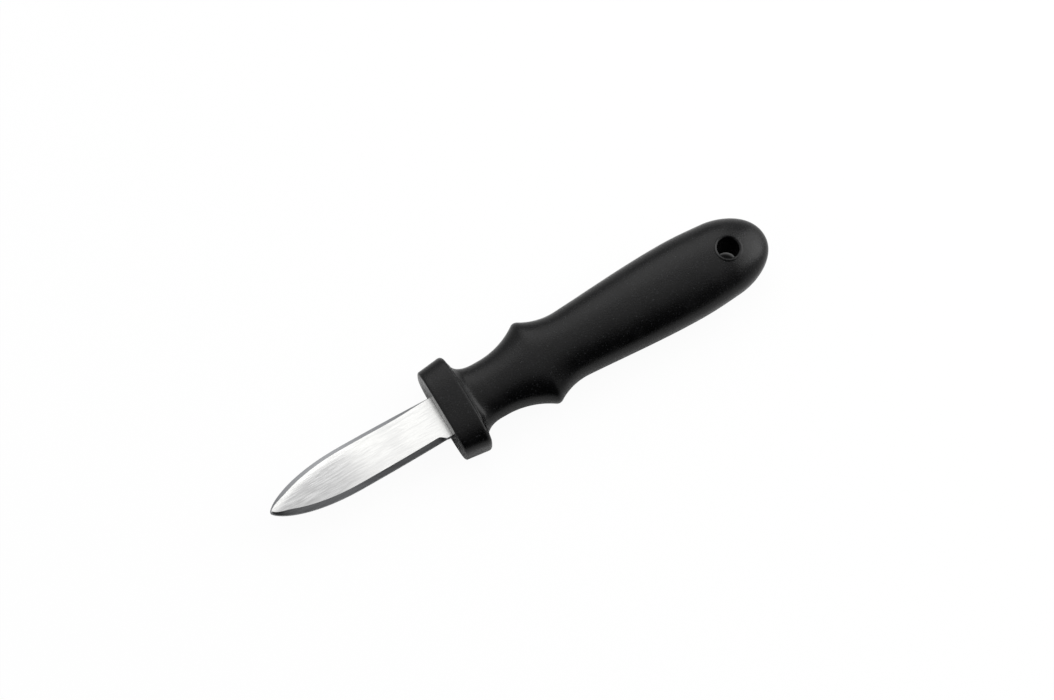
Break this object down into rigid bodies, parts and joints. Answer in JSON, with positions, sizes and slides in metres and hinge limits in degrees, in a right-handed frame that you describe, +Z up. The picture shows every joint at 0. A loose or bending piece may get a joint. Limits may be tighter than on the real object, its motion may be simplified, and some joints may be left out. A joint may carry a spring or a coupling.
{
  "type": "oyster knife",
  "caption": "Short double-bevelled blade in a soft moulded handle with a guard, finger wings and a hang hole.",
  "frame": {"origin": "centre of the bounding box in plan, on the surface that the handle lies on", "axes": "+X from the blade's tip to the butt, +Y across the knife, +Z up through the blade's flat"},
  "size_m": [0.18, 0.0328, 0.018],
  "materials": {
    "blade_steel": "satin, brushed along the blade, with ground bevels",
    "core_plastic": "plain moulded polypropylene, hidden inside the grip",
    "grip_elastomer": "matte moulded elastomer with a fine even texture"
  },
  "bodies": {
    "root": {"blade": "blade_steel", "handle_core": "core_plastic", "grip": "grip_elastomer"}
  },
  "joints": []
}
